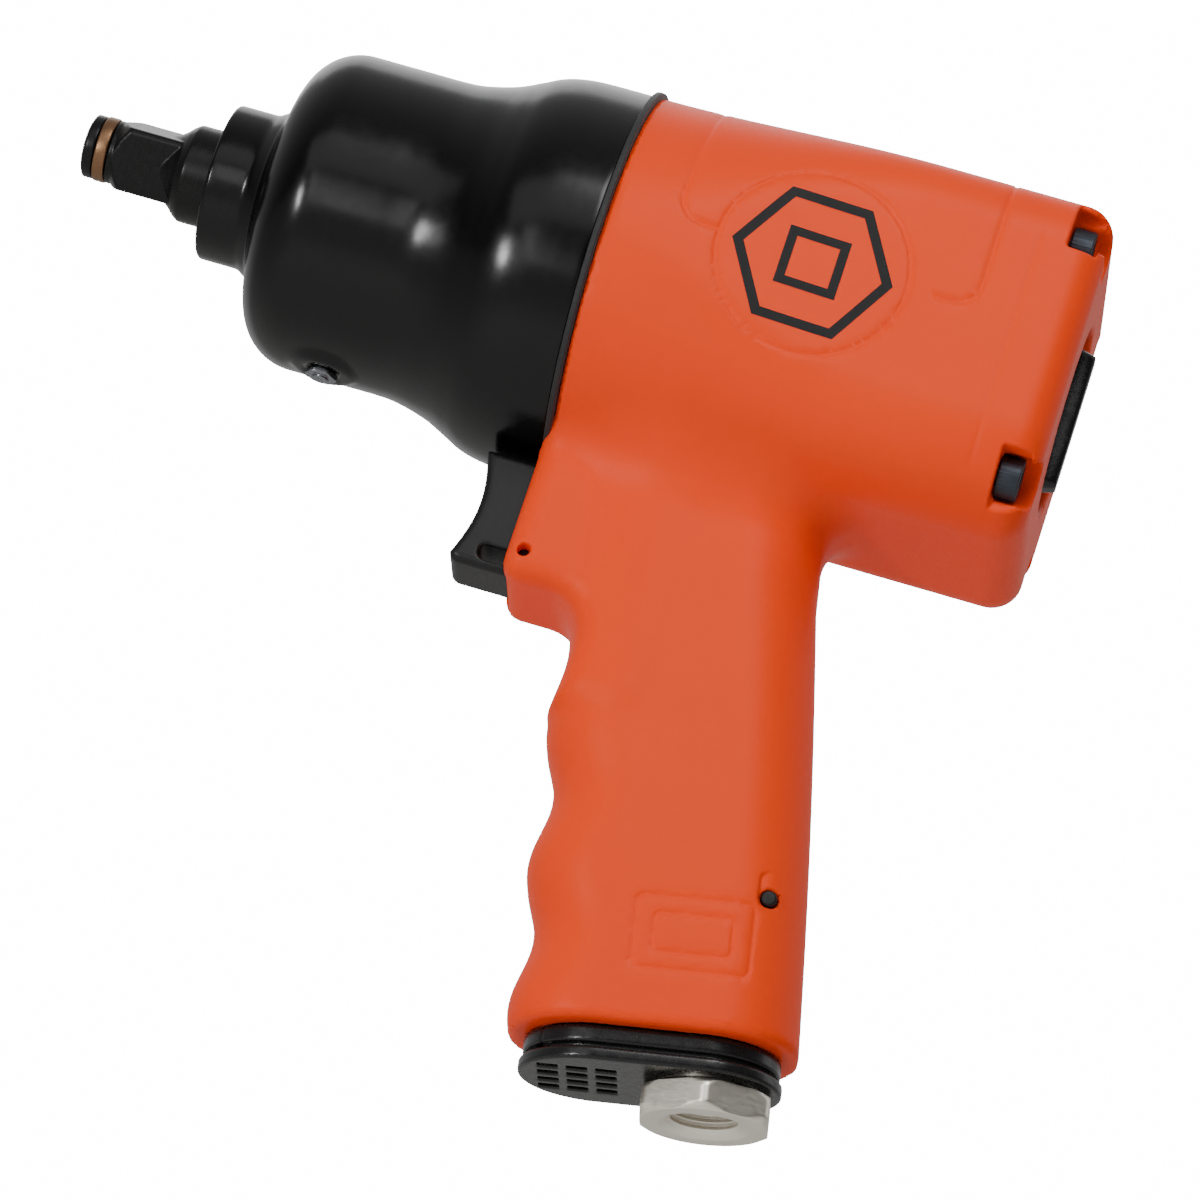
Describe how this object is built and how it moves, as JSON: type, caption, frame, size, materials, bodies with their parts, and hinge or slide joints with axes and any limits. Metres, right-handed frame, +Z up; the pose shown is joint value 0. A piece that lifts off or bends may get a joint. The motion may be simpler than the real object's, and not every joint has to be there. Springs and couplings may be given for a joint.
{
  "type": "impact wrench",
  "caption": "Pistol-grip air impact wrench with a square drive, domed hammer case, sliding trigger, rear dial and hexagonal air inlet at the grip foot.",
  "frame": {"origin": "centre of the front face of the anvil, where a socket goes on", "axes": "+X along the motor axis to the rear, +Z up, grip hanging down along -Z and leaning back; +Y is the right-hand side"},
  "size_m": [0.2014, 0.0802, 0.1991],
  "materials": {
    "orange_composite": "moulded glass-filled nylon, semi-gloss, light grain",
    "case_lacquer": "gloss black lacquer on cast aluminium",
    "black_plastic": "gloss black moulded nylon",
    "trigger_plastic": "satin dark grey acetal",
    "black_oxide_steel": "black oxide on ground steel",
    "hardened_steel": "ground and hardened",
    "screw_steel": "blue-grey phosphate",
    "nickel_plate": "bright nickel plate on turned hexagon bar",
    "brass": "turned",
    "bronze": "sintered or sprung bronze",
    "liner_iron": "honed",
    "vane_composite": "phenolic cloth laminate",
    "rubber": "nitrile",
    "muffler_foam": "open-cell foam"
  },
  "bodies": {
    "body": {"hammer_case": "case_lacquer", "grease_fitting": "hardened_steel", "case_gasket": "rubber", "main_housing": "orange_composite", "anvil_bushing": "bronze", "front_end_plate": "hardened_steel", "front_bearing": "hardened_steel", "cylinder": "liner_iron", "rear_end_plate": "hardened_steel", "rear_bearing": "hardened_steel", "rear_gasket": "rubber", "housing_screw_1": "screw_steel", "housing_screw_2": "screw_steel", "housing_screw_3": "screw_steel", "housing_screw_4": "screw_steel", "trigger_pin": "hardened_steel", "throttle_seat": "brass", "throttle_spring": "hardened_steel", "exhaust_deflector": "black_plastic", "air_inlet": "nickel_plate", "inlet_screen": "hardened_steel", "inlet_o_ring": "rubber", "grip_pin": "hardened_steel", "muffler_foam": "muffler_foam", "foot_gasket": "rubber"},
    "motor": {"rotor": "hardened_steel", "rotor_vane_1": "vane_composite", "rotor_vane_2": "vane_composite", "rotor_vane_3": "vane_composite", "rotor_vane_4": "vane_composite", "rotor_vane_5": "vane_composite", "rotor_vane_6": "vane_composite", "hammer_cage": "hardened_steel", "hammer_pin_1": "hardened_steel", "hammer_pin_2": "hardened_steel"},
    "front_hammer": {"hammer_front": "hardened_steel"},
    "rear_hammer": {"hammer_rear": "hardened_steel"},
    "drive": {"anvil": "black_oxide_steel", "friction_ring": "bronze", "retainer_o_ring": "rubber"},
    "trigger": {"trigger": "trigger_plastic", "throttle_valve": "brass"},
    "dial": {"direction_power_dial": "black_plastic", "reverse_valve": "black_plastic"}
  },
  "joints": [
    {"name": "motor_spin", "type": "hinge", "parent": "body", "child": "motor", "pos_m": [0.12, 0, 0], "axis": [1, 0, 0], "continuous": true},
    {"name": "front_hammer_rock", "type": "hinge", "parent": "motor", "child": "front_hammer", "pos_m": [0.0606, 0, 0.0213], "axis": [1, 0, 0], "range_deg": [-5, 5]},
    {"name": "rear_hammer_rock", "type": "hinge", "parent": "motor", "child": "rear_hammer", "pos_m": [0.0791, 0, -0.0213], "axis": [1, 0, 0], "range_deg": [-5, 5]},
    {"name": "drive_spin", "type": "hinge", "parent": "body", "child": "drive", "pos_m": [0.03, 0, 0], "axis": [1, 0, 0], "continuous": true},
    {"name": "trigger_slide", "type": "slide", "parent": "body", "child": "trigger", "axis": [1, 0, 0], "range_m": [0, 0.008], "stiffness_N_per_m": 600, "springref_m": -0.01, "deforming": ["throttle_spring"]},
    {"name": "dial_turn", "type": "hinge", "parent": "body", "child": "dial", "pos_m": [0.19, 0, 0], "axis": [1, 0, 0], "range_deg": [-90, 90]}
  ],
  "couplings": [
    {"joint": "drive_spin", "follows": "motor_spin", "ratio": 1}
  ]
}
